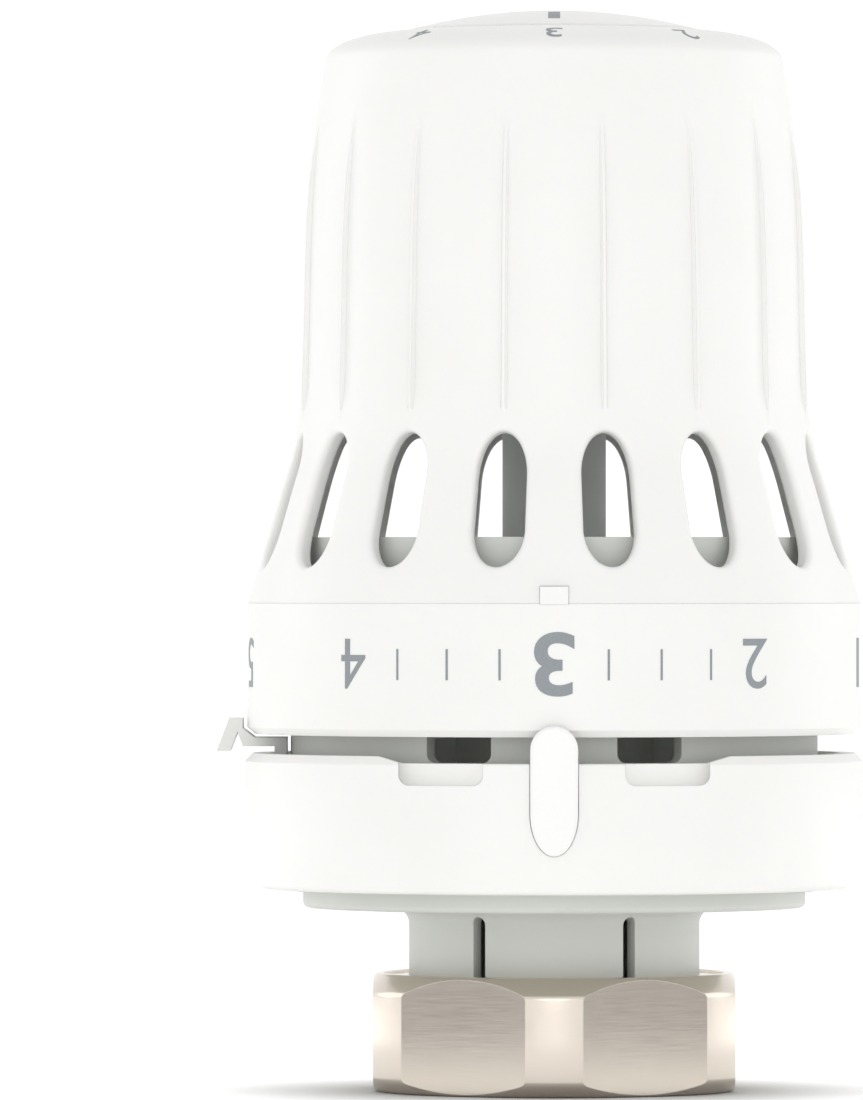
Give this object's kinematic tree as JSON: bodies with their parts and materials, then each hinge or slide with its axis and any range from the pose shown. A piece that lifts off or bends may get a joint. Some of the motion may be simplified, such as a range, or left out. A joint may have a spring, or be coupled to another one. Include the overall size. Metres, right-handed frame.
{
  "type": "thermostatic radiator valve head",
  "caption": "Radiator thermostat head: slotted turning cap with a scale ring on a collar, liquid-filled sensor, spring-loaded pusher and a hexagonal union nut.",
  "frame": {"origin": "centre of the thread's mouth, on the union nut's bottom plane", "axes": "+Z along the head's axis from the valve towards the cap, index pointer facing -Y, limiter tab at -X"},
  "size_m": [0.0574, 0.0558, 0.0959],
  "materials": {
    "white_plastic": "moulded ABS, satin",
    "pointer_plastic": "moulded ABS, polished",
    "tab_plastic": "moulded acetal, satin",
    "grey_plastic": "moulded glass-filled nylon, satin",
    "dark_plastic": "moulded acetal, satin",
    "nickel_brass": "turned brass, satin nickel plated",
    "copper_alloy": "deep-drawn brass, soldered",
    "bronze": "rolled phosphor bronze",
    "brass_turned": "turned brass",
    "steel_pin": "ground stainless steel",
    "spring_steel": "drawn spring steel"
  },
  "bodies": {
    "base": {"socket_body": "grey_plastic", "base_shell": "white_plastic", "index_pointer": "pointer_plastic", "retaining_ring": "spring_steel"},
    "nut": {"union_nut": "nickel_brass"},
    "limiter": {"limiter_ring": "tab_plastic"},
    "handwheel": {"handwheel_cap": "white_plastic", "scale_ring": "white_plastic", "top_disc": "white_plastic"},
    "setting_unit": {"setting_spindle": "dark_plastic", "capsule_holder": "dark_plastic", "capsule_base": "copper_alloy", "capsule_can": "copper_alloy", "capsule_clamp": "spring_steel", "fill_plug": "copper_alloy", "bellows": "bronze"},
    "transmission": {"bellows_cap": "brass_turned", "transmission_pin": "steel_pin", "overtravel_sleeve": "dark_plastic", "sleeve_clip": "spring_steel", "overtravel_spring": "spring_steel"},
    "pusher": {"pusher": "dark_plastic"}
  },
  "joints": [
    {"name": "nut_spin", "type": "hinge", "parent": "base", "child": "nut", "pos_m": [0, 0, 0.005], "axis": [0, 0, 1], "continuous": true},
    {"name": "limiter_turn", "type": "hinge", "parent": "base", "child": "limiter", "pos_m": [0, 0, 0.026], "axis": [0, 0, 1], "range_deg": [-90, 60]},
    {"name": "handwheel_turn", "type": "hinge", "parent": "base", "child": "handwheel", "pos_m": [0, 0, 0.05], "axis": [0, 0, 1], "range_deg": [-120, 80]},
    {"name": "setting_lift", "type": "slide", "parent": "handwheel", "child": "setting_unit", "axis": [0, 0, 1], "range_m": [-0.0027, 0.0018]},
    {"name": "sensor_stroke", "type": "slide", "parent": "setting_unit", "child": "transmission", "axis": [0, 0, 1], "range_m": [-0.0022, 0.001], "stiffness_N_per_m": 2000, "deforming": ["bellows"]},
    {"name": "overtravel", "type": "slide", "parent": "transmission", "child": "pusher", "axis": [0, 0, 1], "range_m": [0, 0.003], "stiffness_N_per_m": 2000, "deforming": ["overtravel_spring"]}
  ],
  "couplings": [
    {"joint": "setting_lift", "follows": "handwheel_turn", "m_per_rad": 0.0012732}
  ]
}
